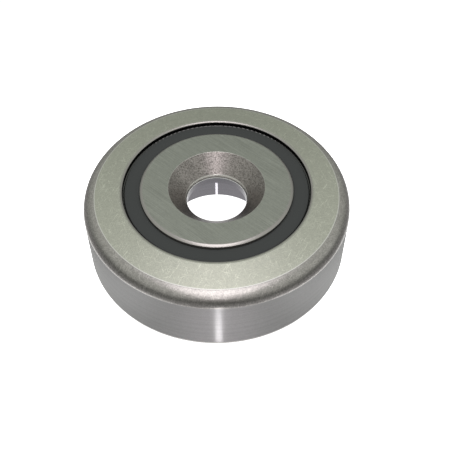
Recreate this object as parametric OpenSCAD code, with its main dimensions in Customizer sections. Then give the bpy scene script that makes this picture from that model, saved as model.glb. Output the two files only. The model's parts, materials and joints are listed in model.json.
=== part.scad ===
// Sealed double-row ball track roller, yoke type, with a cup-shaped inner ring.
// Millimetres. Origin at the centre of the bottom face, +Z up the spin axis, countersunk face up.

/* [Outer ring] */
// Diameter of the tread
outer_d = 100; // [84:0.5:140]
// Width between the two side faces
width = 30; // [25:0.5:40]
// Radius of the turned corner between the upper side face and the tread
top_corner_r = 6; // [3:0.1:7]
// Angle at which that corner breaks into the ground tread
corner_break = 10; // [0:1:30]
// Slope of the relieved upper side face
face_slope = 11; // [0:0.25:14]
// Radius between the tread and the lower side face
bottom_corner_r = 2; // [0.5:0.1:3]
// Width of the chamfer at the mouth of each seal seat
mouth_chamfer_w = 0.65; // [0.2:0.05:1]
// Drop of that chamfer
mouth_chamfer_h = 0.4; // [0.2:0.05:0.8]

/* [Inner ring] */
// Diameter of the shaft bore, open below
shaft_bore_d = 40; // [33:0.5:48]
// Wall between the shaft bore and the outside of the inner ring
ring_wall = 8.5; // [7:0.05:10.2]
// Lead-in chamfer at the mouth of the shaft bore
bore_lead_in = 3.2; // [0.5:0.1:4]
// Depth of the undercut at the inner end of the shaft bore
bore_relief = 0.4; // [0.1:0.1:0.8]
// Diameter of the clearance hole for the screw
screw_hole_d = 22.5; // [18:0.5:27]
// Diameter of the countersink at the upper face
countersink_d = 36; // [30:0.5:44]
// Included angle of the countersink
countersink_angle = 90; // [82:1:100]
// Rounded edge between the countersink and the screw hole
hole_edge_r = 2; // [0.2:0.1:3]
// Length of the screw hole below the countersink
hole_land = 3.5; // [2:0.1:5]
// Width of the chamfer on the outside edges of the inner ring
ring_chamfer_w = 1; // [0.3:0.05:1.5]
// Drop of that chamfer
ring_chamfer_h = 0.6; // [0.2:0.05:0.9]

/* [Balls and cages] */
// Balls in each row
balls_per_row = 12; // [8:1:14]
// Gap between a ball and each raceway
race_gap = 0.08; // [0.02:0.01:0.1]
// Radius of a raceway groove, as a multiple of the radius of a ball
race_conformity = 1.06; // [1.03:0.01:1.12]
// Depth of a raceway groove, as a share of the diameter of a ball
race_depth_share = 0.167; // [0.12:0.001:0.2]
// Gap between a ball and its cage pocket
pocket_gap = 0.2; // [0.1:0.05:0.3]
// Gap between a cage and each ring
cage_gap = 0.7; // [0.4:0.1:1]
// Thickness of a cage behind its balls
cage_back = 1; // [0.8:0.1:1.5]
// Height of the cage prongs over the middle of the balls, as a share of the pocket radius
prong_share = 0.45; // [0.3:0.05:0.5]
// Width of the slots between the prongs
prong_slot = 2; // [1:0.1:3]
// Gap between the two cages
cage_spacing = 0.2; // [0.1:0.05:1]
// Gap between the balls and the seal beside them
ball_seal_gap = 0.575; // [0.3:0.025:1.5]

/* [Seals] */
// How far a seal lies below the faces of the rings
seal_sink = 1.6; // [1:0.1:2]
// Thickness of a seal
seal_t = 2; // [1.6:0.1:2.4]
// Thickness of the steel core in a seal
core_t = 0.6; // [0.4:0.1:0.8]
// Rubber left around the edges of the core
core_cover = 0.6; // [0.4:0.1:1]
// Depth of the undercut that holds the bead of a seal
bead_depth = 1; // [0.6:0.1:1.4]
// Width of that undercut
bead_w = 1.1; // [0.8:0.1:1.2]
// Gap between the bead and the walls of its undercut
bead_slack = 0.02; // [0.01:0.01:0.05]
// Width of the channel between the flat of a seal and the outer ring
channel_w = 0.8; // [0.4:0.1:1.2]
// Depth of that channel
channel_depth = 0.7; // [0.4:0.1:0.8]
// Width of the thin lip of a seal
lip_w = 0.5; // [0.3:0.1:1]
// Drop of the lip below the flat of the seal, on each side of it
lip_drop = 0.15; // [0.1:0.05:0.7]
// Gap between the lip and the inner ring
lip_gap = 0.1; // [0.05:0.05:0.2]

/* [Hidden] */
$fn = 96;
CORNER_STEPS = 12;
EDGE_STEPS = 6;
EPS = 0.01;
ROWS = ["upper", "lower"];

// The balls fill the width that the seals and the backs of the cages leave
outer_r = outer_d / 2;
seal_top = width - seal_sink;
seal_bottom = seal_top - seal_t;
ball_d = seal_bottom - ball_seal_gap - width / 2 - cage_spacing / 2 - cage_back - pocket_gap;
ball_r = ball_d / 2;
row_offset = cage_spacing / 2 + cage_back + pocket_gap + ball_r;
row_z = [width / 2 + row_offset, width / 2 - row_offset];

// The rings, from the shaft bore out to the shoulders of the outer ring
bore_r = shaft_bore_d / 2;
land_r = bore_r + ring_wall;
race_depth = race_depth_share * ball_d;
pitch_r = land_r + ball_r + race_gap - race_depth;
shoulder_r = pitch_r + ball_r + race_gap - race_depth;
groove_r = ball_r * race_conformity;

// Countersink, screw hole and the web that they leave over the shaft bore
hole_r = screw_hole_d / 2;
sink_r = countersink_d / 2;
sink_half = countersink_angle / 2;
sink_depth = (sink_r - hole_r) / tan(sink_half);
hole_edge_z = width - sink_depth - hole_edge_r * tan(sink_half / 2);
bore_depth = width - sink_depth - hole_land;

// The relieved side face of the outer ring, and the arc that carries it to the tread
face_in_r = shoulder_r + mouth_chamfer_w;
corner_r = outer_r - top_corner_r * cos(corner_break);
face_out_r = corner_r + top_corner_r * sin(face_slope);
face_out_z = width - (face_out_r - face_in_r) * tan(face_slope);
corner_z = face_out_z - top_corner_r * cos(face_slope);

// Cages
cage_in_r = land_r + cage_gap;
cage_out_r = shoulder_r - cage_gap;
pocket_r = ball_r + pocket_gap;
cage_root = pocket_r + cage_back;
cage_length = cage_root + pocket_r * prong_share;

// Seals
bead_r = shoulder_r + bead_depth;
bead_top = seal_top - channel_depth;
core_z = (seal_top + seal_bottom - core_t) / 2;
core_in_r = land_r + lip_gap + lip_w + core_cover;
core_out_r = shoulder_r - channel_w - core_cover;

// Name of one ball, such as upper_ball_03
function ball_name(row, i) = str(row, "_ball_", i < 10 ? "0" : "", i);

// Points on an arc about [r, z], from one angle to another
function arc(r, z, radius, from, to, steps) =
    [for (i = [0 : steps]) let (a = from + (to - from) * i / steps) [r + radius * cos(a), z + radius * sin(a)]];

// Angle of one ball round the ring; the lower row sits half a pitch further
function ball_angle(row, i) = (i - 1 + row / 2) * 360 / balls_per_row;

// Torus that cuts one raceway, with its deepest point at floor_r; facing is 1 outwards, -1 inwards
module raceway(z, floor_r, facing) {
    translate([0, 0, z])
        rotate_extrude()
            translate([floor_r - facing * groove_r, 0])
                circle(r = groove_r);
}

module outer_ring() {
    color([0.62, 0.62, 0.6])
        difference() {
            rotate_extrude()
                polygon(concat(
                    [[shoulder_r, mouth_chamfer_h], [face_in_r, 0]],
                    arc(outer_r - bottom_corner_r, bottom_corner_r, bottom_corner_r, -90, 0, EDGE_STEPS),
                    arc(corner_r, corner_z, top_corner_r, corner_break, 90 - face_slope, CORNER_STEPS),
                    [[face_in_r, width], [shoulder_r, width - mouth_chamfer_h]]));
            for (z = row_z)
                raceway(z, pitch_r + ball_r + race_gap, 1);
            for (z = [bead_top - bead_w, width - bead_top])
                translate([0, 0, z])
                    cylinder(r = bead_r, h = bead_w);
        }
}

module inner_ring() {
    color([0.6, 0.6, 0.58])
        difference() {
            rotate_extrude()
                polygon(concat(
                    [[bore_r + bore_lead_in, 0], [land_r - ring_chamfer_w, 0], [land_r, ring_chamfer_h]],
                    [[land_r, width - ring_chamfer_h], [land_r - ring_chamfer_w, width], [sink_r, width]],
                    arc(hole_r + hole_edge_r, hole_edge_z, hole_edge_r, 180 - sink_half, 180, EDGE_STEPS),
                    [[hole_r, bore_depth], [bore_r, bore_depth], [bore_r, bore_lead_in]]));
            for (z = row_z)
                raceway(z, pitch_r - ball_r - race_gap, -1);
            translate([0, 0, bore_depth - 2 * bore_relief])
                cylinder(r = bore_r + bore_relief, h = 2 * bore_relief);
        }
}

// One ball; row 0 is the upper row, and row 1 the lower one
module ball(row, i) {
    color([0.8, 0.81, 0.82])
        rotate([0, 0, ball_angle(row, i)])
            translate([pitch_r, 0, row_z[row]])
                sphere(r = ball_r);
}

// Snap cage of one row, with its back towards the middle of the bearing
module cage(row) {
    color([0.86, 0.83, 0.72])
        translate([0, 0, row_z[row]])
            mirror([0, 0, row])
                difference() {
                    translate([0, 0, -cage_root])
                        cylinder(r = cage_out_r, h = cage_length);
                    translate([0, 0, -cage_root - EPS])
                        cylinder(r = cage_in_r, h = cage_length + 2 * EPS);
                    for (i = [1 : balls_per_row]) {
                        rotate([0, 0, ball_angle(row, i)])
                            translate([pitch_r, 0, 0])
                                sphere(r = pocket_r);
                        rotate([0, 0, ball_angle(row, i + 0.5)])
                            translate([cage_in_r - EPS - 1, -prong_slot / 2, 0])
                                cube([cage_out_r - cage_in_r + 2, prong_slot, cage_length]);
                    }
                }
}

// Keeps a seal piece at the upper side, or mirrors it to the lower side
module at_side(side) {
    translate([0, 0, side * width])
        mirror([0, 0, side])
            children();
}

module seal_core(side) {
    color([0.45, 0.46, 0.47])
        at_side(side)
            translate([0, 0, core_z])
                difference() {
                    cylinder(r = core_out_r, h = core_t);
                    translate([0, 0, -EPS])
                        cylinder(r = core_in_r, h = core_t + 2 * EPS);
                }
}

// Rubber of one seal: a thin lip, a flat body around the core, and a bead in the undercut
module seal_rubber(side) {
    lip_r = land_r + lip_gap;
    color([0.16, 0.17, 0.17])
        at_side(side)
            difference() {
                rotate_extrude()
                    polygon([
                        [lip_r, seal_bottom + lip_drop],
                        [lip_r + lip_w, seal_bottom],
                        [shoulder_r - bead_slack, seal_bottom],
                        [shoulder_r - bead_slack, bead_top - bead_w + bead_slack],
                        [bead_r - bead_slack, bead_top - bead_w + bead_slack],
                        [bead_r - bead_slack, bead_top - bead_slack],
                        [shoulder_r - channel_w, bead_top - bead_slack],
                        [shoulder_r - channel_w, seal_top],
                        [lip_r + lip_w, seal_top],
                        [lip_r, seal_top - lip_drop]]);
                difference() {
                    translate([0, 0, core_z])
                        cylinder(r = core_out_r, h = core_t);
                    translate([0, 0, core_z - EPS])
                        cylinder(r = core_in_r, h = core_t + 2 * EPS);
                }
            }
}

outer_ring();
inner_ring();
for (row = [0, 1], i = [1 : balls_per_row])
    ball(row, i);
cage(0);  // upper_cage
cage(1);  // lower_cage
seal_rubber(0);  // upper_seal_rubber
seal_core(0);  // upper_seal_core
seal_rubber(1);  // lower_seal_rubber
seal_core(1);  // lower_seal_core
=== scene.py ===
"""Sealed double-row ball track roller with a countersunk, cup-shaped inner ring.

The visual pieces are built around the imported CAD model, in its own frame and in metres."""

import json
import math

import bmesh
import bpy
from bpy.props import FloatProperty, FloatVectorProperty, IntProperty, PointerProperty
from mathutils import Matrix, Vector


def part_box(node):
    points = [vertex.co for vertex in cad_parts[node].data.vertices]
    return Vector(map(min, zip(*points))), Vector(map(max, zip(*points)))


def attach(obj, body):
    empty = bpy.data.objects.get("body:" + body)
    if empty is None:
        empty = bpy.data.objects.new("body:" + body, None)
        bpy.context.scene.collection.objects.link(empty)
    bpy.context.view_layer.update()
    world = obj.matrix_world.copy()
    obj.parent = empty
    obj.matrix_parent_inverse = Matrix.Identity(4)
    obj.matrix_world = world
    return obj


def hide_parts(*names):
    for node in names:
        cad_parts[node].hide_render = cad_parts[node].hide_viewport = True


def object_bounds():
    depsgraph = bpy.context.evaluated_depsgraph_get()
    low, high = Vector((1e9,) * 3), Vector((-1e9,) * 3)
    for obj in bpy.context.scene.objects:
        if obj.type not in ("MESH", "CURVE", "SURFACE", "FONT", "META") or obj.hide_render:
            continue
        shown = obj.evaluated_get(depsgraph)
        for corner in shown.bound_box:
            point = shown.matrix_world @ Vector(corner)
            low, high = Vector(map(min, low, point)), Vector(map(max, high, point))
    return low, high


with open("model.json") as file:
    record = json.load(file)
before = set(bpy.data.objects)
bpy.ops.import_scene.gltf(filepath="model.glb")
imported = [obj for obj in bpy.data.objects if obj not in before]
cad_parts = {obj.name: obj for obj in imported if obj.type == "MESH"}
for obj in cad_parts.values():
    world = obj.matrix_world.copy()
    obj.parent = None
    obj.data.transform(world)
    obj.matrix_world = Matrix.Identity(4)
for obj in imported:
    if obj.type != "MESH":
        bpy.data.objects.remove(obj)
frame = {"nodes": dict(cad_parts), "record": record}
CAD_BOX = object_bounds()

bl_info = {
    "name": "Track roller",
    "version": (1, 0, 0),
    "blender": (4, 5, 0),
    "location": "3D View > Sidebar > Track roller",
    "description": "Builds a sealed ball track roller, its finishes and a small studio",
    "category": "Add Mesh",
}

MM = 0.001
ROWS = ("upper", "lower")
MOUNTS = {m["name"]: m for m in frame["record"]["mounts"]}

# The worn chamfers, as shares of their width and drop; the first starts at the lip, the second at the face.
MOUTH_PROFILE = ((0.65, 0.1), (0.18, 0.55), (0.0, 1.0))
RING_PROFILE = (0.65, 0.1)

# The floor glows around the roller, most beside it and beyond it, and less to an eye that looks along it.
FLOOR_RADIUS = 4.0
GLOW_REACH = (0.2, 0.34)
GLOW_LEVELS = (1.08, 0.1)
GLOW_BESIDE = (0.028, 0.048, 0.056, 0.075)
GLOW_BESIDE_LEVEL = 1.1
GLOW_BEYOND = (0.0, 0.07)
GLOW_FACING = (0.37, 0.52)
GLOW_GRAZING = 0.08

# Colours of the surroundings, from low to high and from the front to the far side.
FRONT_DARK = (0.09, 0.095, 0.085, 1)
FAR_PALE = (0.5, 0.52, 0.48, 1)
FRONT_LOW = (0.2, 0.195, 0.19, 1)
FRONT_HIGH = (0.5, 0.49, 0.48, 1)
FAR_GREY = (0.40, 0.42, 0.385, 1)
ASIDE_PALE = (0.72, 0.74, 0.69, 1)
TOP_PALE = (0.9, 0.9, 0.9, 1)

# Name, height and side angles in degrees, distance, size, setting and tint of each soft light.
SOFT_LIGHTS = (
    ("overhead_light", 107, 0.0, 1.0, (0.62, 0.74), "overhead", (1.0, 0.945, 0.96)),
    ("front_light", 138, 0.0, 0.8, (0.4, 0.26), "front", (1.0, 0.93, 0.945)),
    ("flash_light", 138, 0.0, 0.5, (0.03, 0.03), "flash", (1.0, 0.95, 0.96)),
)
# Name, place above the floor, turn about X, size and setting of each narrow light.
STRIPS = (
    ("strip_light", (0, -0.079, 0.0002), math.pi, (0.003, 0.05), "strip"),
    ("bore_light", (0, 0.019, 0.0055), math.pi / 2, (0.0008, 0.0076), "bore_strip"),
)
STRIP_TINT = (1.0, 0.98, 0.99)
SIDE_LIGHT = ("side_light", 20, 90.0, 1.0, (0.35, 0.35), "side", (0.97, 1.0, 0.97))


def ball_count(row):
    """How many balls one row of the CAD model has."""
    return sum(name.startswith(row + "_ball_") for name in frame["nodes"])


def outer_radius_of(node):
    """Largest distance of a CAD node from the spin axis."""
    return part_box(node)[1].x


def mount_radius(name):
    """Radius of a round mount, in metres."""
    return MOUNTS[name]["dims"]["r_mm"] * MM


# ---------------------------------------------------------------- sizes and colours


def length(name, description, default, top=0.1):
    """A length property in metres."""
    return FloatProperty(
        name=name, description=description, default=default, min=0, max=top, unit="LENGTH", precision=5
    )


def angle(name, description, degrees):
    """An angle property, given in degrees and stored in radians."""
    return FloatProperty(name=name, description=description, default=math.radians(degrees), unit="ROTATION")


def colour(name, description, default):
    """A linear RGB colour property."""
    return FloatVectorProperty(
        name=name, description=description, default=default, size=3, min=0, max=1, subtype="COLOR"
    )


def radiance(name, description, default):
    """The radiance of a light."""
    return FloatProperty(name=name, description=description, default=default, min=0)


class RollerSizes(bpy.types.PropertyGroup):
    """Sizes of the two rings; the overall ones come from the CAD model."""

    outer_r: length("Tread radius", "Radius of the tread", outer_radius_of("outer_ring"))
    width: length("Width", "Distance between the side faces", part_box("outer_ring")[1].z)
    corner_r: length("Corner radius", "Radius of the turned upper corner", 6 * MM)
    corner_break: angle("Corner break", "Angle at which the corner breaks into the tread", 10)
    face_slope: angle("Face slope", "Slope of the relieved upper side face", 11)
    low_corner_r: length("Lower corner radius", "Radius between the tread and the lower face", 2 * MM)
    mouth_w: length("Mouth chamfer width", "Width of the chamfer at the mouth of each seal seat", 0.65 * MM)
    mouth_h: length("Mouth chamfer drop", "Drop of that chamfer", 0.4 * MM)
    mouth_land: length("Mouth land", "Width of the flat land around each seal seat", 0.6 * MM)
    ring_w: length("Ring chamfer width", "Width of the outside chamfers of the inner ring", 1 * MM)
    ring_h: length("Ring chamfer drop", "Drop of that chamfer", 0.6 * MM)
    land_r: length("Land radius", "Outside radius of the inner ring", outer_radius_of("inner_ring"))
    bore_r: length("Shaft bore radius", "Radius of the shaft bore", mount_radius("shaft_bore"))
    hole_r: length("Screw hole radius", "Radius of the screw hole", mount_radius("screw_hole"))
    sink_r: length("Countersink radius", "Radius of the countersink at the face", 18 * MM)
    sink_half: angle("Countersink half angle", "Half the included angle of the countersink", 45)
    sink_edge: length("Countersink edge", "Rounding at the rim of the countersink", 0.1 * MM)
    hole_edge: length("Hole edge", "Rounding between the countersink and the hole", 2 * MM)
    hole_land: length("Hole land", "Length of the screw hole below the countersink", 3.5 * MM)
    bore_lead_in: length("Bore lead-in", "Chamfer at the mouth of the shaft bore", 3.2 * MM)
    bore_relief: length("Bore undercut", "Depth of the undercut at the end of the bore", 0.4 * MM)
    groove_share: FloatProperty(
        name="Groove radius share", description="Radius of a raceway over that of a ball", default=1.06, min=1
    )
    race_gap: length("Race gap", "Gap between a ball and each raceway", 0.08 * MM)
    segments: IntProperty(name="Segments", description="Steps around each turned piece", default=360, min=64)


class SealSizes(bpy.types.PropertyGroup):
    """Sizes of the two seals."""

    sink: length("Seal sink", "How far a seal lies below the ring faces", 1.6 * MM)
    thickness: length("Seal thickness", "Thickness of a seal", 2 * MM)
    bead_depth: length("Bead depth", "Depth of the undercut that holds the bead", 1 * MM)
    bead_width: length("Bead width", "Width of that undercut", 1.1 * MM)
    bead_slack: length("Bead slack", "Gap around the bead", 0.02 * MM)
    channel_width: length("Channel width", "Width of the channel outside the flat", 0.8 * MM)
    channel_depth: length("Channel depth", "Depth of that channel", 0.7 * MM)
    lip_width: length("Lip width", "Width of the thin lip", 0.5 * MM)
    lip_drop: length("Lip drop", "Drop of the lip below the flat", 0.15 * MM)
    lip_gap: length("Lip gap", "Gap between the lip and the inner ring", 0.1 * MM)
    core_thickness: length("Core thickness", "Thickness of the steel core", 0.6 * MM)
    edge_r: length("Moulded edge", "Rounding of the moulded edges", 0.12 * MM)
    channel_rise: length("Channel rise", "Rise of the channel floor towards the outer ring", 0.25 * MM)
    rib_height: length("Rib height", "Height of the grip ribs in the channel", 0.12 * MM)
    ribs: IntProperty(name="Ribs", description="Grip ribs around the channel", default=120, min=12)


class RollerColours(bpy.types.PropertyGroup):
    """Base colours of the finishes."""

    face: colour("Side face", "Fine ground side face", (0.49, 0.50, 0.435))
    corner: colour("Turned corner", "Turned corner of the outer ring", (0.372, 0.358, 0.345))
    tread: colour("Tread", "Ground tread", (0.41, 0.405, 0.41))
    ground: colour("Inner ring face", "Surface-ground face of the inner ring", (0.405, 0.42, 0.38))
    countersink: colour("Countersink", "Turned countersink", (0.285, 0.264, 0.254))
    # The bore colour is kept dark as painted shade inside the bores, seats and raceways.
    bore: colour("Bores", "Ground bores", (0.17, 0.165, 0.178))
    # The edge colour is brighter than the other steels: a painted highlight along the rounded edges.
    edge: colour("Edges", "Polished edges", (0.66, 0.66, 0.63))
    rubber: colour("Seal rubber", "Matte nitrile rubber", (0.032, 0.034, 0.032))
    cage: colour("Cage", "Polyamide of the cages", (0.72, 0.66, 0.50))
    ball: colour("Balls", "Polished bearing steel", (0.76, 0.77, 0.79))
    floor: colour("Floor", "Pale studio floor", (0.25, 0.25, 0.25))


class StudioSettings(bpy.types.PropertyGroup):
    """Camera and lights."""

    distance: FloatProperty(
        name="Camera distance", description="Distance to the base centre", default=0.304457, unit="LENGTH"
    )
    elevation: angle("Camera elevation", "Height angle of the camera", 50.943)
    yaw: angle("Camera yaw", "Turn of the view to the side", -0.5918)
    pitch: angle("Camera pitch", "Turn of the view upwards", 0.8927)
    roll: angle("Camera roll", "Tilt of the view", -0.915)
    focal: FloatProperty(name="Focal length", description="In millimetres on a 36 mm frame", default=60.762)
    overhead: radiance("Overhead light", "Radiance of the big soft light", 2.3)
    strip: radiance("Strip light", "Radiance of the narrow light on the floor", 6.0)
    front: radiance("Front light", "Radiance of the soft light at the front", 0.6)
    flash: radiance("Flash light", "Radiance of the small light at the front", 20.0)
    bore_strip: radiance("Bore light", "Radiance of the narrow light in the bore", 6.0)
    side: radiance("Side light", "Radiance of the light at the right", 0.3)


SETTINGS = {
    "roller_sizes": RollerSizes,
    "roller_seals": SealSizes,
    "roller_colours": RollerColours,
    "roller_studio": StudioSettings,
}


# ---------------------------------------------------------------- turned outlines


def arc(centre, radius, start, end, steps=8):
    """Points (r, z) on an arc, from one angle to another, in degrees."""
    points = []
    for i in range(steps + 1):
        a = math.radians(start + (end - start) * i / steps)
        points.append((centre[0] + radius * math.cos(a), centre[1] + radius * math.sin(a)))
    return points


def straight(start, end, support=0.15 * MM):
    """A straight stretch with a support point near each end, which keeps its shading flat."""
    a, b = Vector(start), Vector(end)
    reach = (b - a).length
    if reach < 4 * support:
        return [tuple(a), tuple(b)]
    step = (b - a) * (support / reach)
    return [tuple(a), tuple(a + step), tuple(b - step), tuple(b)]


def groove(radius, bottom_r, shoulder_r, z, facing):
    """Points of a raceway groove cut into a land at shoulder_r.
    The facing is 1 for a groove that opens inwards, and -1 for one that opens outwards."""
    centre = bottom_r - facing * radius
    half = math.degrees(math.acos(abs(shoulder_r - centre) / radius))
    middle = 0 if facing > 0 else 180
    return arc((centre, z), radius, middle + half, middle - half, 20)


def lathe(name, outline, segments, lift=None):
    """Turns a closed outline of (material, points) runs about the Z axis into one smooth mesh object.
    lift(run, angle) may raise the points of a run, for ribs and similar details."""
    rings, run_of_face, materials = [], [], []
    for number, (material, points) in enumerate(outline):
        if material not in materials:
            materials.append(material)
        for point in points:
            if rings and (Vector(point) - Vector(rings[-1][0])).length < 1e-7:
                continue
            rings.append((point, number))
    if (Vector(rings[0][0]) - Vector(rings[-1][0])).length < 1e-7:
        rings.pop()
    mesh = bmesh.new()
    grid = []
    for (r, z), number in rings:
        ring = []
        for k in range(segments):
            a = 2 * math.pi * k / segments
            up = lift(number, a) if lift else 0
            ring.append(mesh.verts.new((r * math.cos(a), r * math.sin(a), z + up)))
        grid.append(ring)
    count = len(grid)
    for j in range(count):
        here, after = grid[j], grid[(j + 1) % count]
        number = rings[(j + 1) % count][1] if j + 1 < count else len(outline) - 1
        index = materials.index(outline[number][0])
        for k in range(segments):
            n = (k + 1) % segments
            face = mesh.faces.new((here[k], here[n], after[n], after[k]))
            face.material_index = index
            face.smooth = True
    bmesh.ops.recalc_face_normals(mesh, faces=mesh.faces)
    data = bpy.data.meshes.new(name)
    mesh.to_mesh(data)
    mesh.free()
    data.set_sharp_from_angle(angle=math.radians(30))
    for material in materials:
        data.materials.append(material)
    piece = bpy.data.objects.new(name, data)
    bpy.context.scene.collection.objects.link(piece)
    return piece


# ---------------------------------------------------------------- shader building blocks


def add(tree, kind, inputs=None, **settings):
    """Adds a shader node, sets its properties and fills its inputs with values or links."""
    made = tree.nodes.new(kind)
    for key, value in settings.items():
        setattr(made, key, value)
    for key, value in (inputs or {}).items():
        if isinstance(value, bpy.types.NodeSocket):
            tree.links.new(value, made.inputs[key])
        else:
            made.inputs[key].default_value = value
    return made


def maths(tree, operation, a, b=0.0):
    """Output of one Math node."""
    return add(tree, "ShaderNodeMath", {0: a, 1: b}, operation=operation).outputs[0]


def remap(tree, value, low, high, to_low=0.0, to_high=1.0):
    """Value mapped from one range to another and held inside it."""
    sockets = {"Value": value, "From Min": low, "From Max": high, "To Min": to_low, "To Max": to_high}
    return add(tree, "ShaderNodeMapRange", sockets, clamp=True).outputs["Result"]


def blended(tree, mask, a, b):
    """Colour a where the mask is 0 and b where it is 1."""
    mixer = add(tree, "ShaderNodeMix", data_type="RGBA")
    for socket, value in zip((mixer.inputs[0], mixer.inputs[6], mixer.inputs[7]), (mask, a, b), strict=True):
        if isinstance(value, bpy.types.NodeSocket):
            tree.links.new(value, socket)
        else:
            socket.default_value = value
    return mixer.outputs[2]


def turned_parts(tree, vector, turn):
    """X, Y and Z of a vector turned about the spin axis."""
    sockets = {"Vector": vector, "Angle": turn}
    turned = add(tree, "ShaderNodeVectorRotate", sockets, rotation_type="Z_AXIS").outputs[0]
    return add(tree, "ShaderNodeSeparateXYZ", {0: turned}).outputs


def shade(rgb, factor=1.0):
    """An RGBA colour, brighter or darker than the one given."""
    return (*(min(1.0, c * factor) for c in rgb), 1.0)


def new_group(name, inputs, outputs):
    """A shader node group with named float or vector inputs and float outputs."""
    tree = bpy.data.node_groups.new(name, "ShaderNodeTree")
    for label, default in inputs.items():
        kind = "NodeSocketVector" if default is None else "NodeSocketFloat"
        socket = tree.interface.new_socket(label, in_out="INPUT", socket_type=kind)
        if default is not None:
            socket.default_value = default
    for label in outputs:
        tree.interface.new_socket(label, in_out="OUTPUT", socket_type="NodeSocketFloat")
    return tree, tree.nodes.new("NodeGroupInput").outputs, tree.nodes.new("NodeGroupOutput").inputs


def grain_group():
    """Fine irregular grain: a height and a speckle mask."""
    tree, given, out = new_group("Metal grain", {"Vector": None, "Size": 0.0004}, ("Height", "Speckle"))
    scale = maths(tree, "DIVIDE", 1.0, given["Size"])
    sockets = {"Vector": given["Vector"], "Scale": scale, "Detail": 3.0, "Roughness": 0.65}
    fine = add(tree, "ShaderNodeTexNoise", sockets)
    sockets = {"Vector": given["Vector"], "Scale": maths(tree, "MULTIPLY", scale, 0.37), "Detail": 2.0}
    broad = add(tree, "ShaderNodeTexNoise", sockets)
    tree.links.new(fine.outputs["Fac"], out["Height"])
    both = maths(tree, "ADD", maths(tree, "MULTIPLY", fine.outputs["Fac"], 0.85),
                 maths(tree, "MULTIPLY", broad.outputs["Fac"], 0.15))
    tree.links.new(remap(tree, both, 0.36, 0.64), out["Speckle"])
    return tree


def turning_group():
    """Lines that run around the spin axis, as a lathe or a cylindrical grinder leaves them."""
    inputs = {"Vector": None, "Pitch": 0.0002, "Drift": 0.4}
    tree, given, out = new_group("Turned lines", inputs, ("Height", "Bands"))
    parts = add(tree, "ShaderNodeSeparateXYZ", {0: given["Vector"]}).outputs
    radius = maths(tree, "POWER", maths(tree, "ADD", maths(tree, "POWER", parts["X"], 2.0),
                                         maths(tree, "POWER", parts["Y"], 2.0)), 0.5)
    unit = add(tree, "ShaderNodeVectorMath", {0: given["Vector"]}, operation="NORMALIZE").outputs[0]
    around = add(tree, "ShaderNodeSeparateXYZ", {0: unit}).outputs
    across = maths(tree, "DIVIDE", radius, given["Pitch"])
    along = maths(tree, "DIVIDE", parts["Z"], given["Pitch"])
    drift = maths(tree, "MULTIPLY", maths(tree, "ADD", around["X"], around["Y"]), given["Drift"])
    place = add(tree, "ShaderNodeCombineXYZ", {"X": across, "Y": along, "Z": drift}).outputs[0]
    fine = add(tree, "ShaderNodeTexNoise", {"Vector": place, "Scale": 1.0, "Detail": 2.0, "Roughness": 0.6})
    broad = add(tree, "ShaderNodeTexNoise", {"Vector": place, "Scale": 0.13, "Detail": 1.0})
    tree.links.new(fine.outputs["Fac"], out["Height"])
    tree.links.new(remap(tree, broad.outputs["Fac"], 0.3, 0.7), out["Bands"])
    return tree


def grinding_group():
    """Straight parallel lines, as a surface grinder leaves them."""
    inputs = {"Vector": None, "Turn": 0.6, "Pitch": 0.0002, "Length": 0.012}
    tree, given, out = new_group("Ground lines", inputs, ("Height", "Bands"))
    parts = turned_parts(tree, given["Vector"], given["Turn"])
    along = maths(tree, "DIVIDE", parts["X"], given["Length"])
    across = maths(tree, "DIVIDE", parts["Y"], given["Pitch"])
    place = add(tree, "ShaderNodeCombineXYZ", {"X": along, "Y": across, "Z": parts["Z"]}).outputs[0]
    fine = add(tree, "ShaderNodeTexNoise", {"Vector": place, "Scale": 1.0, "Detail": 2.0, "Roughness": 0.6})
    tree.links.new(fine.outputs["Fac"], out["Height"])
    tree.links.new(remap(tree, fine.outputs["Fac"], 0.35, 0.65), out["Bands"])
    return tree


def scratch_group():
    """Short thin scratches in a few directions."""
    inputs = {"Vector": None, "Width": 0.00012, "Length": 0.004, "Amount": 0.5}
    tree, given, out = new_group("Handling scratches", inputs, ("Mask",))
    total = None
    for number, turn in enumerate((0.35, 1.25, 2.1, 2.8)):
        parts = turned_parts(tree, given["Vector"], turn)
        along = maths(tree, "DIVIDE", parts["X"], given["Length"])
        across = maths(tree, "DIVIDE", parts["Y"], given["Width"])
        place = add(tree, "ShaderNodeCombineXYZ", {"X": along, "Y": across, "Z": 7.3 * number}).outputs[0]
        noise = add(tree, "ShaderNodeTexNoise", {"Vector": place, "Scale": 1.0, "Detail": 0.0}).outputs["Fac"]
        limit = maths(tree, "SUBTRACT", 0.86, maths(tree, "MULTIPLY", given["Amount"], 0.16))
        line = remap(tree, maths(tree, "SUBTRACT", noise, limit), 0.0, 0.05)
        total = line if total is None else maths(tree, "MAXIMUM", total, line)
    tree.links.new(total, out["Mask"])
    return tree


GROUP_MAKERS = {
    "Metal grain": grain_group,
    "Turned lines": turning_group,
    "Ground lines": grinding_group,
    "Handling scratches": scratch_group,
}


def effect(tree, name, **inputs):
    """Places one of the shared node groups, made on first use, with its own values."""
    group = bpy.data.node_groups.get(name) or GROUP_MAKERS[name]()
    made = add(tree, "ShaderNodeGroup", node_tree=group)
    for key, value in inputs.items():
        if isinstance(value, bpy.types.NodeSocket):
            tree.links.new(value, made.inputs[key])
        else:
            made.inputs[key].default_value = value
    return made.outputs


def start_material(name, metallic=1.0):
    """A new material: its tree, its Principled shader and the object's own coordinates."""
    material = bpy.data.materials.new(name)
    material.use_nodes = True
    tree = material.node_tree
    shader = tree.nodes["Principled BSDF"]
    shader.inputs["Metallic"].default_value = metallic
    place = add(tree, "ShaderNodeTexCoord").outputs["Object"]
    return material, tree, shader, place


def bump(tree, shader, height, strength, distance):
    """Feeds a height to the shader's normal."""
    made = add(tree, "ShaderNodeBump", {"Height": height, "Strength": strength, "Distance": distance})
    tree.links.new(made.outputs["Normal"], shader.inputs["Normal"])


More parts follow.
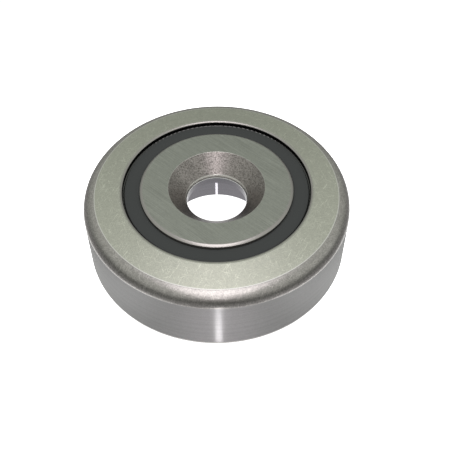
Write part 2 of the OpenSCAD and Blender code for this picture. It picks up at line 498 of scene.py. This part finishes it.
def brush_around(tree, shader, anisotropy):
    """Stretches highlights along the spin axis, across lines that run around it."""
    tangent = add(tree, "ShaderNodeTangent", direction_type="RADIAL", axis="Z").outputs[0]
    tree.links.new(tangent, shader.inputs["Tangent"])
    shader.inputs["Anisotropic"].default_value = anisotropy
    shader.inputs["Anisotropic Rotation"].default_value = 0.25


# ---------------------------------------------------------------- finishes


def side_face_steel(colours):
    """Fine matte grain with light handling scratches."""
    material, tree, shader, place = start_material("side_face_steel")
    grain = effect(tree, "Metal grain", Vector=place, Size=0.0004)
    scratches = effect(tree, "Handling scratches", Vector=place, Width=0.0002, Length=0.0045, Amount=0.72)
    lines = effect(tree, "Turned lines", Vector=place, Pitch=0.0003, Drift=1.5)
    tone = blended(tree, grain["Speckle"], shade(colours.face, 0.86), shade(colours.face, 1.13))
    tone = blended(tree, maths(tree, "MULTIPLY", scratches["Mask"], 0.8), tone, shade(colours.face, 1.55))
    tree.links.new(tone, shader.inputs["Base Color"])
    rough = remap(tree, grain["Speckle"], 0.0, 1.0, 0.36, 0.46)
    rough = maths(tree, "SUBTRACT", rough, maths(tree, "MULTIPLY", scratches["Mask"], 0.12))
    tree.links.new(rough, shader.inputs["Roughness"])
    height = maths(tree, "ADD", grain["Height"], maths(tree, "MULTIPLY", lines["Height"], 0.25))
    height = maths(tree, "SUBTRACT", height, maths(tree, "MULTIPLY", scratches["Mask"], 0.5))
    bump(tree, shader, height, 0.25, 0.000015)
    return material


def corner_steel(colours):
    """Coarser turned finish of the outer ring's corners, with a few nicks."""
    material, tree, shader, place = start_material("corner_steel")
    grain = effect(tree, "Metal grain", Vector=place, Size=0.0005)
    lines = effect(tree, "Turned lines", Vector=place, Pitch=0.00025, Drift=2.0)
    nicks = effect(tree, "Handling scratches", Vector=place, Width=0.0002, Length=0.003, Amount=0.7)
    tone = blended(tree, grain["Speckle"], shade(colours.corner, 0.74), shade(colours.corner, 1.26))
    tone = blended(tree, maths(tree, "MULTIPLY", nicks["Mask"], 0.7), tone, shade(colours.corner, 1.7))
    tree.links.new(tone, shader.inputs["Base Color"])
    tree.links.new(remap(tree, grain["Speckle"], 0.0, 1.0, 0.28, 0.33), shader.inputs["Roughness"])
    height = maths(tree, "ADD", grain["Height"], maths(tree, "MULTIPLY", lines["Height"], 0.6))
    bump(tree, shader, height, 0.3, 0.00004)
    return material


def tread_steel(colours):
    """Cylindrically ground tread, with highlights stretched along the axis."""
    material, tree, shader, place = start_material("tread_steel")
    lines = effect(tree, "Turned lines", Vector=place, Pitch=0.00018, Drift=0.6)
    grain = effect(tree, "Metal grain", Vector=place, Size=0.0005)
    mask = maths(tree, "MULTIPLY", lines["Bands"], 0.4)
    mask = maths(tree, "ADD", mask, maths(tree, "MULTIPLY", grain["Speckle"], 0.6))
    tone = blended(tree, mask, shade(colours.tread, 0.86), shade(colours.tread, 1.13))
    tree.links.new(tone, shader.inputs["Base Color"])
    tree.links.new(remap(tree, grain["Speckle"], 0.0, 1.0, 0.46, 0.5), shader.inputs["Roughness"])
    bump(tree, shader, lines["Height"], 0.1, 0.00001)
    brush_around(tree, shader, 1.0)
    return material


def ground_face_steel(colours):
    """Surface-ground faces of the inner ring."""
    material, tree, shader, place = start_material("ground_face_steel")
    lines = effect(tree, "Ground lines", Vector=place, Turn=0.75, Pitch=0.00035, Length=0.02)
    grain = effect(tree, "Metal grain", Vector=place, Size=0.00045)
    mask = maths(tree, "MULTIPLY", lines["Bands"], 0.6)
    mask = maths(tree, "ADD", mask, maths(tree, "MULTIPLY", grain["Speckle"], 0.4))
    tone = blended(tree, mask, shade(colours.ground, 0.8), shade(colours.ground, 1.2))
    tree.links.new(tone, shader.inputs["Base Color"])
    tree.links.new(remap(tree, mask, 0.0, 1.0, 0.32, 0.42), shader.inputs["Roughness"])
    bump(tree, shader, lines["Height"], 0.3, 0.00004)
    return material


def countersink_steel(colours):
    """Turned countersink with a coarse grain."""
    material, tree, shader, place = start_material("countersink_steel")
    grain = effect(tree, "Metal grain", Vector=place, Size=0.0005)
    lines = effect(tree, "Turned lines", Vector=place, Pitch=0.0003, Drift=1.0)
    tone = blended(tree, grain["Speckle"], shade(colours.countersink, 0.5), shade(colours.countersink, 1.5))
    tree.links.new(tone, shader.inputs["Base Color"])
    tree.links.new(remap(tree, grain["Speckle"], 0.0, 1.0, 0.3, 0.36), shader.inputs["Roughness"])
    height = maths(tree, "ADD", grain["Height"], maths(tree, "MULTIPLY", lines["Height"], 0.4))
    bump(tree, shader, height, 0.15, 0.00001)
    brush_around(tree, shader, 0.3)
    return material


def shaded_bore_steel(colours):
    """Ground bores, seats and raceways; the dark base colour is painted shade for the bore's shadowed inside.
    """
    material, tree, shader, place = start_material("shaded_bore_steel")
    lines = effect(tree, "Turned lines", Vector=place, Pitch=0.00015, Drift=0.5)
    tone = blended(tree, lines["Bands"], shade(colours.bore, 0.93), shade(colours.bore, 1.05))
    tree.links.new(tone, shader.inputs["Base Color"])
    tree.links.new(remap(tree, lines["Bands"], 0.0, 1.0, 0.2, 0.24), shader.inputs["Roughness"])
    bump(tree, shader, lines["Height"], 0.1, 0.00001)
    brush_around(tree, shader, 0.9)
    return material


def shaded_seat_steel(colours):
    """Smooth oiled steel of the seal seats and the raceways, a darker copy of the bore colour as painted
    shade in these recesses.
    """
    material, tree, shader, place = start_material("shaded_seat_steel")
    lines = effect(tree, "Turned lines", Vector=place, Pitch=0.0003, Drift=0.8)
    tone = blended(tree, lines["Bands"], shade(colours.bore, 0.6), shade(colours.bore, 0.75))
    tree.links.new(tone, shader.inputs["Base Color"])
    tree.links.new(remap(tree, lines["Bands"], 0.0, 1.0, 0.14, 0.2), shader.inputs["Roughness"])
    bump(tree, shader, lines["Height"], 0.1, 0.00001)
    return material


def glint_edge_steel(colours):
    """Rounded edges with a soft polish; their base colour, brighter than the other steels, paints highlights
    along the edges.
    """
    material, tree, shader, place = start_material("glint_edge_steel")
    lines = effect(tree, "Turned lines", Vector=place, Pitch=0.0002, Drift=3.0)
    tone = blended(tree, lines["Bands"], shade(colours.edge, 0.93), shade(colours.edge, 1.06))
    tree.links.new(tone, shader.inputs["Base Color"])
    tree.links.new(remap(tree, lines["Bands"], 0.0, 1.0, 0.32, 0.38), shader.inputs["Roughness"])
    bump(tree, shader, lines["Height"], 0.1, 0.00001)
    return material


def chamfer_steel(colours):
    """Fine turned chamfers."""
    material, tree, shader, place = start_material("chamfer_steel")
    lines = effect(tree, "Turned lines", Vector=place, Pitch=0.0002, Drift=3.0)
    tone = blended(tree, lines["Bands"], shade(colours.corner, 0.95), shade(colours.corner, 1.1))
    tree.links.new(tone, shader.inputs["Base Color"])
    tree.links.new(remap(tree, lines["Bands"], 0.0, 1.0, 0.3, 0.38), shader.inputs["Roughness"])
    bump(tree, shader, lines["Height"], 0.2, 0.00002)
    return material


def seal_rubber_material(colours):
    """Matte moulded rubber."""
    material, tree, shader, place = start_material("seal_rubber", metallic=0.0)
    grain = effect(tree, "Metal grain", Vector=place, Size=0.0003)
    lines = effect(tree, "Turned lines", Vector=place, Pitch=0.0005, Drift=0.3)
    mask = maths(tree, "MULTIPLY", lines["Bands"], 0.4)
    mask = maths(tree, "ADD", maths(tree, "MULTIPLY", grain["Speckle"], 0.6), mask)
    tone = blended(tree, mask, shade(colours.rubber, 0.8), shade(colours.rubber, 1.3))
    tree.links.new(tone, shader.inputs["Base Color"])
    tree.links.new(remap(tree, mask, 0.0, 1.0, 0.52, 0.66), shader.inputs["Roughness"])
    bump(tree, shader, grain["Height"], 0.4, 0.00003)
    return material


def channel_rubber_material(colours):
    """Smoother, slightly greasy rubber of the seal channel; its darker tone is painted shade in the channel.
    """
    material, tree, shader, place = start_material("channel_rubber", metallic=0.0)
    grain = effect(tree, "Metal grain", Vector=place, Size=0.0012)
    tone = blended(tree, grain["Speckle"], shade(colours.rubber, 0.35), shade(colours.rubber, 0.6))
    tree.links.new(tone, shader.inputs["Base Color"])
    tree.links.new(remap(tree, grain["Speckle"], 0.0, 1.0, 0.1, 0.16), shader.inputs["Roughness"])
    shader.inputs["Specular IOR Level"].default_value = 0.7
    bump(tree, shader, grain["Height"], 0.1, 0.00005)
    return material


def core_steel(colours):
    """Pressed sheet steel."""
    material, tree, shader, place = start_material("seal_core_steel")
    grain = effect(tree, "Metal grain", Vector=place, Size=0.0008)
    tone = blended(tree, grain["Speckle"], shade(colours.tread, 0.75), shade(colours.tread, 0.95))
    tree.links.new(tone, shader.inputs["Base Color"])
    tree.links.new(remap(tree, grain["Speckle"], 0.0, 1.0, 0.35, 0.5), shader.inputs["Roughness"])
    bump(tree, shader, grain["Height"], 0.2, 0.00003)
    return material


def ball_steel(colours):
    """Polished bearing steel with a light film of grease."""
    material, tree, shader, place = start_material("ball_steel")
    grain = effect(tree, "Metal grain", Vector=place, Size=0.0015)
    tone = blended(tree, grain["Speckle"], shade(colours.ball, 0.94), shade(colours.ball, 1.04))
    tree.links.new(tone, shader.inputs["Base Color"])
    tree.links.new(remap(tree, grain["Speckle"], 0.0, 1.0, 0.05, 0.12), shader.inputs["Roughness"])
    return material


def cage_polyamide(colours):
    """Moulded polyamide of the cages."""
    material, tree, shader, place = start_material("cage_polyamide", metallic=0.0)
    grain = effect(tree, "Metal grain", Vector=place, Size=0.0009)
    tone = blended(tree, grain["Speckle"], shade(colours.cage, 0.85), shade(colours.cage, 1.08))
    tree.links.new(tone, shader.inputs["Base Color"])
    tree.links.new(remap(tree, grain["Speckle"], 0.0, 1.0, 0.35, 0.5), shader.inputs["Roughness"])
    bump(tree, shader, grain["Height"], 0.3, 0.00005)
    return material


def glowing_floor_paper(colours):
    """Pale paper with a painted glow: its emission, strongest beside and beyond the roller and weaker at
    grazing views, stands in for light on the floor.
    """
    material, tree, shader, place = start_material("glowing_floor_paper", metallic=0.0)
    grain = effect(tree, "Metal grain", Vector=place, Size=0.004)
    tone = blended(tree, grain["Speckle"], shade(colours.floor, 0.995), shade(colours.floor, 1.005))
    tree.links.new(tone, shader.inputs["Base Color"])
    shader.inputs["Roughness"].default_value = 0.9
    shader.inputs["Specular IOR Level"].default_value = 0.1
    shader.inputs["Emission Color"].default_value = (1, 1, 1, 1)
    reach = add(tree, "ShaderNodeVectorMath", {0: place}, operation="LENGTH").outputs["Value"]
    parts = add(tree, "ShaderNodeSeparateXYZ", {0: place}).outputs
    aside = maths(tree, "ABSOLUTE", parts["X"])
    rising = remap(tree, aside, *GLOW_BESIDE[:2])
    falling = remap(tree, aside, *GLOW_BESIDE[2:], 1.0, 0.0)
    beside = maths(tree, "MULTIPLY", maths(tree, "MULTIPLY", rising, falling), GLOW_BESIDE_LEVEL)
    glow = maths(tree, "ADD", remap(tree, reach, *GLOW_REACH, *GLOW_LEVELS), beside)
    glow = maths(tree, "ADD", glow, remap(tree, parts["Y"], *GLOW_BEYOND))
    facing = add(tree, "ShaderNodeLayerWeight").outputs["Facing"]
    glow = maths(tree, "MULTIPLY", glow, remap(tree, facing, *GLOW_FACING, 1.0, GLOW_GRAZING))
    tree.links.new(glow, shader.inputs["Emission Strength"])
    return material


def finish(maker):
    """The material of one finish, made on first use."""
    name = maker.__name__.removesuffix("_material")
    return bpy.data.materials.get(name) or maker(bpy.context.scene.roller_colours)


# ---------------------------------------------------------------- derived places


def seal_places(sizes, seals):
    """Heights and radii that the outer ring and the seals share, at the upper side."""
    top = sizes.width - seals.sink
    bead_r = outer_radius_of("upper_seal_rubber") + seals.bead_slack
    bead_top = top - seals.channel_depth
    return {
        "top": top,
        "bottom": top - seals.thickness,
        "bead_top": bead_top,
        "bead_low": bead_top - seals.bead_width,
        "bead_r": bead_r,
        "shoulder": bead_r - seals.bead_depth,
    }


def ball_row(row):
    """Radius of a ball, radius of its path and height of its row."""
    low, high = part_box(row + "_ball_01")
    middle = (low + high) / 2
    return (high.z - low.z) / 2, math.hypot(middle.x, middle.y), middle.z


def mirrored(points, width):
    """The same points at the lower side, in the opposite order."""
    return [(r, width - z) for r, z in reversed(points)]


def use_node(name, material):
    """Gives a CAD node its finish."""
    node = frame["nodes"][name]
    node.data.materials.clear()
    node.data.materials.append(material)


# ---------------------------------------------------------------- operators


class ROLLER_OT_stage(bpy.types.Operator):
    """Set up the camera, the glowing floor, the surroundings and the lights"""

    bl_idname = "roller.stage"
    bl_label = "Stage"

    def execute(self, context):
        studio = context.scene.roller_studio
        self.camera(context, studio)
        self.floor(context)
        self.world(context)
        for light in SOFT_LIGHTS:
            self.lamp(context, studio, *light)
        for name, place, turn, size, setting in STRIPS:
            strip = self.lamp(context, studio, name, 90, 0.0, 0.1, size, setting, STRIP_TINT)
            strip.location = (place[0], place[1], CAD_BOX[0][2] + place[2])
            strip.rotation_euler = (turn, 0, 0)
        self.lamp(context, studio, *SIDE_LIGHT)
        context.scene.view_settings.view_transform = "Standard"
        return {"FINISHED"}

    def camera(self, context, studio):
        """A camera that looks down at the roller from the front."""
        data = bpy.data.cameras.new("camera")
        data.sensor_width = 36
        data.lens = studio.focal
        data.clip_start = 0.01
        camera = bpy.data.objects.new("camera", data)
        context.scene.collection.objects.link(camera)
        up = studio.elevation
        place = Vector((0, -math.cos(up), math.sin(up))) * studio.distance
        turn = Matrix.Rotation(math.pi / 2 - up, 4, "X")
        turn = turn @ Matrix.Rotation(studio.yaw, 4, "Y") @ Matrix.Rotation(studio.pitch, 4, "X")
        camera.matrix_world = Matrix.Translation(place) @ turn @ Matrix.Rotation(studio.roll, 4, "Z")
        context.scene.camera = camera

    def floor(self, context):
        """A wide flat disc at the foot of the roller."""
        mesh = bmesh.new()
        bmesh.ops.create_circle(mesh, cap_ends=True, radius=FLOOR_RADIUS, segments=96)
        data = bpy.data.meshes.new("floor")
        mesh.to_mesh(data)
        mesh.free()
        floor = bpy.data.objects.new("floor", data)
        floor.location.z = CAD_BOX[0][2]
        context.scene.collection.objects.link(floor)
        data.materials.append(glowing_floor_paper(context.scene.roller_colours))

    def world(self, context):
        """Soft surrounding light, dimmer towards the front."""
        world = bpy.data.worlds.new("studio")
        context.scene.world = world
        world.use_nodes = True
        tree = world.node_tree
        direction = add(tree, "ShaderNodeTexCoord").outputs["Generated"]
        parts = add(tree, "ShaderNodeSeparateXYZ", {0: direction}).outputs
        far = remap(tree, parts["Y"], -0.7, 0.1)
        near = blended(tree, remap(tree, parts["Z"], 0.2, 0.7), FRONT_LOW, FRONT_HIGH)
        tone = blended(tree, far, near, FAR_GREY)
        low = blended(tree, remap(tree, parts["Y"], 0.0, 0.6), FRONT_DARK, FAR_PALE)
        tone = blended(tree, remap(tree, parts["Z"], 0.0, 0.42), low, tone)
        aside = remap(tree, maths(tree, "ABSOLUTE", parts["X"]), 0.1, 0.5)
        aside = maths(tree, "MULTIPLY", aside, remap(tree, parts["Z"], 0.1, 0.6))
        tone = blended(tree, aside, tone, ASIDE_PALE)
        tone = blended(tree, remap(tree, parts["Z"], 0.82, 0.98), tone, TOP_PALE)
        tree.links.new(tone, tree.nodes["Background"].inputs["Color"])

    def lamp(self, context, studio, name, height, side, distance, size, setting, tint):
        """A soft rectangular light that faces the roller.
        Its height runs from 0, far, over the top to 180, near."""
        data = bpy.data.lights.new(name, "AREA")
        data.shape = "RECTANGLE"
        data.size, data.size_y = size
        data.energy = getattr(studio, setting) * math.pi * size[0] * size[1]
        data.color = tint
        lamp = bpy.data.objects.new(name, data)
        context.scene.collection.objects.link(lamp)
        h = math.radians(height)
        way = Matrix.Rotation(math.radians(-side), 3, "Z") @ Vector((0, math.cos(h), math.sin(h)))
        lamp.location = way * distance
        lamp.rotation_euler = way.to_track_quat("Z", "Y").to_euler()
        return lamp


class ROLLER_OT_outer_ring(bpy.types.Operator):
    """Turn the outer ring: ground tread, turned corners, relieved side face, seal seats and raceways"""

    bl_idname = "roller.outer_ring"
    bl_label = "Outer ring"

    def execute(self, context):
        sizes, seals = context.scene.roller_sizes, context.scene.roller_seals
        at = seal_places(sizes, seals)
        face, corner, tread = finish(side_face_steel), finish(corner_steel), finish(tread_steel)
        edge, chamfer, shaded_seat = finish(glint_edge_steel), finish(chamfer_steel), finish(shaded_seat_steel)
        shoulder, width = at["shoulder"], sizes.width
        slope, break_angle = math.degrees(sizes.face_slope), math.degrees(sizes.corner_break)
        mouth_in = shoulder + sizes.mouth_w
        corner_r = sizes.outer_r - sizes.corner_r * math.cos(sizes.corner_break)
        face_out_r = corner_r + sizes.corner_r * math.sin(sizes.face_slope)
        face_out_z = width - (face_out_r - mouth_in) * math.tan(sizes.face_slope)
        corner_z = face_out_z - sizes.corner_r * math.cos(sizes.face_slope)
        top_arc = arc((corner_r, corner_z), sizes.corner_r, break_angle, 90 - slope, 24)
        low_r = sizes.low_corner_r
        low_arc = arc((sizes.outer_r - low_r, low_r), low_r, -90, 0, 10)
        land_out = mouth_in + sizes.mouth_land
        upper_mouth = [(mouth_in, width)]
        for out, down in MOUTH_PROFILE:
            upper_mouth.append((shoulder + out * sizes.mouth_w, width - down * sizes.mouth_h))
        upper_seat = straight(upper_mouth[-1], (shoulder, at["bead_top"]))
        upper_seat += [(at["bead_r"], at["bead_top"]), (at["bead_r"], at["bead_low"])]
        upper_seat += [(shoulder, at["bead_low"])]
        races = []
        for row in ROWS:
            ball_r, path_r, z = ball_row(row)
            bottom_r = path_r + ball_r + sizes.race_gap
            races += groove(ball_r * sizes.groove_share, bottom_r, shoulder, z, 1)
        outline = [
            (face, straight((mouth_in, 0), (sizes.outer_r - low_r, 0))),
            (corner, low_arc),
            (tread, straight(low_arc[-1], top_arc[0])),
            (corner, top_arc[:-1]),
            # The last step of the corner arc and a thin band at the mouth land take the brighter edge finish,
            # which paints highlight lines there.
            (edge, top_arc[-2:]),
            (face, straight(top_arc[-1], (land_out + 0.06 * MM, width - 0.012 * MM))),
            (edge, [(land_out, width)]),
            (face, [upper_mouth[0]]),
            (chamfer, upper_mouth),
            # The seats and raceways take the darker seat finish, painted shade in the recess above the seal.
            (shaded_seat, upper_seat + races + mirrored(upper_seat, width)),
            (chamfer, mirrored(upper_mouth, width)),
        ]
        ring = lathe("outer_ring_turned", outline, sizes.segments)
        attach(ring, "outer_ring")
        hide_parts("outer_ring")
        return {"FINISHED"}


class ROLLER_OT_inner_ring(bpy.types.Operator):
    """Turn the cup-shaped inner ring: countersink, screw hole, shaft bore and raceways"""

    bl_idname = "roller.inner_ring"
    bl_label = "Inner ring"

    def execute(self, context):
        sizes = context.scene.roller_sizes
        ground, sink = finish(ground_face_steel), finish(countersink_steel)
        bore, edge, shaded_seat = finish(shaded_bore_steel), finish(glint_edge_steel), finish(shaded_seat_steel)
        chamfer, width, land = finish(chamfer_steel), sizes.width, sizes.land_r
        half = math.degrees(sizes.sink_half)
        sink_depth = (sizes.sink_r - sizes.hole_r) / math.tan(sizes.sink_half)
        hole_edge_z = width - sink_depth - sizes.hole_edge * math.tan(sizes.sink_half / 2)
        bore_end = width - sink_depth - sizes.hole_land
        lead = sizes.bore_lead_in
        rim_reach = sizes.sink_edge * math.tan((math.pi / 2 - sizes.sink_half) / 2)
        soft = (land - RING_PROFILE[0] * sizes.ring_w, width - RING_PROFILE[1] * sizes.ring_h)
        top_edge = [(land, width - sizes.ring_h), soft, (land - sizes.ring_w, width)]
        low_edge = mirrored(top_edge, width)
        rim = arc((sizes.sink_r + rim_reach, width - sizes.sink_edge), sizes.sink_edge, 90, 180 - half, 5)
        hole_edge = arc((sizes.hole_r + sizes.hole_edge, hole_edge_z), sizes.hole_edge, 180 - half, 180, 8)
        races = []
        for row in reversed(ROWS):
            ball_r, path_r, z = ball_row(row)
            bottom_r = path_r - ball_r - sizes.race_gap
            races += groove(ball_r * sizes.groove_share, bottom_r, land, z, -1)
        relief = sizes.bore_r + sizes.bore_relief
        relief_low = bore_end - 2 * sizes.bore_relief
        web = straight((sizes.hole_r, bore_end), (relief, bore_end))
        shaft_bore = [(relief, relief_low), (sizes.bore_r, relief_low)]
        shaft_bore += straight((sizes.bore_r, relief_low), (sizes.bore_r, lead))
        outline = [
            (ground, straight((sizes.bore_r + lead, 0), low_edge[0])),
            (chamfer, low_edge),
            (shaded_seat, races),
            (chamfer, top_edge),
            (ground, straight(top_edge[-1], rim[0])),
            # The rim, the hole edge and the bore lead-in take the brighter edge finish as a painted
            # highlight.
            (edge, rim),
            (sink, straight(rim[-1], hole_edge[0])),
            (edge, hole_edge),
            (bore, straight(hole_edge[-1], web[0]) + web + shaft_bore),
            (edge, [(sizes.bore_r, lead), (sizes.bore_r + lead, 0)]),
        ]
        ring = lathe("inner_ring_turned", outline, sizes.segments)
        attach(ring, "inner_ring")
        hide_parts("inner_ring")
        return {"FINISHED"}


class ROLLER_OT_seals(bpy.types.Operator):
    """Mould the two rubber seals, with grip ribs in their channels, around their steel cores"""

    bl_idname = "roller.seals"
    bl_label = "Seals"

    def execute(self, context):
        sizes, seals = context.scene.roller_sizes, context.scene.roller_seals
        for row in ROWS:
            self.rubber(sizes, seals, row)
            use_node(row + "_seal_core", finish(core_steel))
        return {"FINISHED"}

    def rubber(self, sizes, seals, row):
        """One seal; the lower one is the upper one mirrored."""
        at = seal_places(sizes, seals)
        rubber, shaded_channel = finish(seal_rubber_material), finish(channel_rubber_material)
        lip_r = sizes.land_r + seals.lip_gap
        flat_in, flat_out = lip_r + seals.lip_width, at["shoulder"] - seals.channel_width
        slack, edge = seals.bead_slack, seals.edge_r
        bead_top, bead_low = at["bead_top"] - slack, at["bead_low"] + slack
        bead_r, neck_r = at["bead_r"] - slack, at["shoulder"] - slack
        rib_floor = bead_top + 0.4 * seals.rib_height
        under = [(lip_r, at["bottom"] + seals.lip_drop)]
        under += straight((flat_in, at["bottom"]), (neck_r, at["bottom"]))
        under += [(neck_r, bead_low), (bead_r, bead_low), (bead_r, bead_top), (neck_r, bead_top)]
        floor_in = flat_out + edge
        wall = arc((floor_in, rib_floor + edge), edge, 270, 180, 4)
        brow = arc((flat_out - edge, at["top"] - edge), edge, 0, 90, 4)
        flat = straight(brow[-1], (flat_in, at["top"]))
        lip = [(flat_in, at["top"]), (lip_r, at["top"] - seals.lip_drop)]
        lip += [(lip_r, at["bottom"] + seals.lip_drop)]
        outline = [
            (rubber, under),
            (shaded_channel, [(neck_r - edge, rib_floor + seals.channel_rise), (floor_in, rib_floor)]),
            (shaded_channel, wall),
            (rubber, brow),
            (rubber, flat),
            (rubber, lip),
        ]
        if row == "lower":
            outline = [(material, [(r, sizes.width - z) for r, z in points]) for material, points in outline]
        sign = 1 if row == "upper" else -1

        def ribs(run, turn):
            """Low rounded ribs on the floor of the channel."""
            if run != 1:
                return 0
            return sign * seals.rib_height * max(0.0, math.cos(seals.ribs * turn)) ** 0.5

        seal = lathe(row + "_seal_moulded", outline, 6 * seals.ribs, ribs)
        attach(seal, "outer_ring")
        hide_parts(row + "_seal_rubber")


class ROLLER_OT_balls(bpy.types.Operator):
    """Give the polished balls their finish"""

    bl_idname = "roller.balls"
    bl_label = "Balls"

    def execute(self, context):
        for row in ROWS:
            for number in range(1, ball_count(row) + 1):
                use_node(f"{row}_ball_{number:02d}", finish(ball_steel))
        return {"FINISHED"}


class ROLLER_OT_cages(bpy.types.Operator):
    """Give the two moulded cages their finish"""

    bl_idname = "roller.cages"
    bl_label = "Cages"

    def execute(self, context):
        for row in ROWS:
            use_node(row + "_cage", finish(cage_polyamide))
        return {"FINISHED"}


OPERATORS = (
    ROLLER_OT_stage,
    ROLLER_OT_outer_ring,
    ROLLER_OT_inner_ring,
    ROLLER_OT_seals,
    ROLLER_OT_balls,
    ROLLER_OT_cages,
)


class ROLLER_PT_sidebar(bpy.types.Panel):
    """Lists the roller's pieces"""

    bl_idname = "ROLLER_PT_sidebar"
    bl_label = "Track roller"
    bl_space_type = "VIEW_3D"
    bl_region_type = "UI"
    bl_category = "Track roller"

    def draw(self, context):
        for operator in OPERATORS:
            self.layout.operator(operator.bl_idname)
        for key, group in SETTINGS.items():
            box = self.layout.box()
            for name in group.__annotations__:
                box.prop(getattr(context.scene, key), name)


def register():
    """Registers the settings, the operators and the panel."""
    for key, group in SETTINGS.items():
        bpy.utils.register_class(group)
        setattr(bpy.types.Scene, key, PointerProperty(type=group))
    for item in (*OPERATORS, ROLLER_PT_sidebar):
        bpy.utils.register_class(item)


def unregister():
    """Takes back all that register added."""
    for item in (ROLLER_PT_sidebar, *reversed(OPERATORS)):
        bpy.utils.unregister_class(item)
    for key, group in SETTINGS.items():
        delattr(bpy.types.Scene, key)
        bpy.utils.unregister_class(group)


def main():
    """Builds the whole scene."""
    register()
    bpy.ops.roller.stage()
    bpy.ops.roller.outer_ring()
    bpy.ops.roller.inner_ring()
    bpy.ops.roller.seals()
    bpy.ops.roller.balls()
    bpy.ops.roller.cages()


if __name__ == "__main__":
    main()
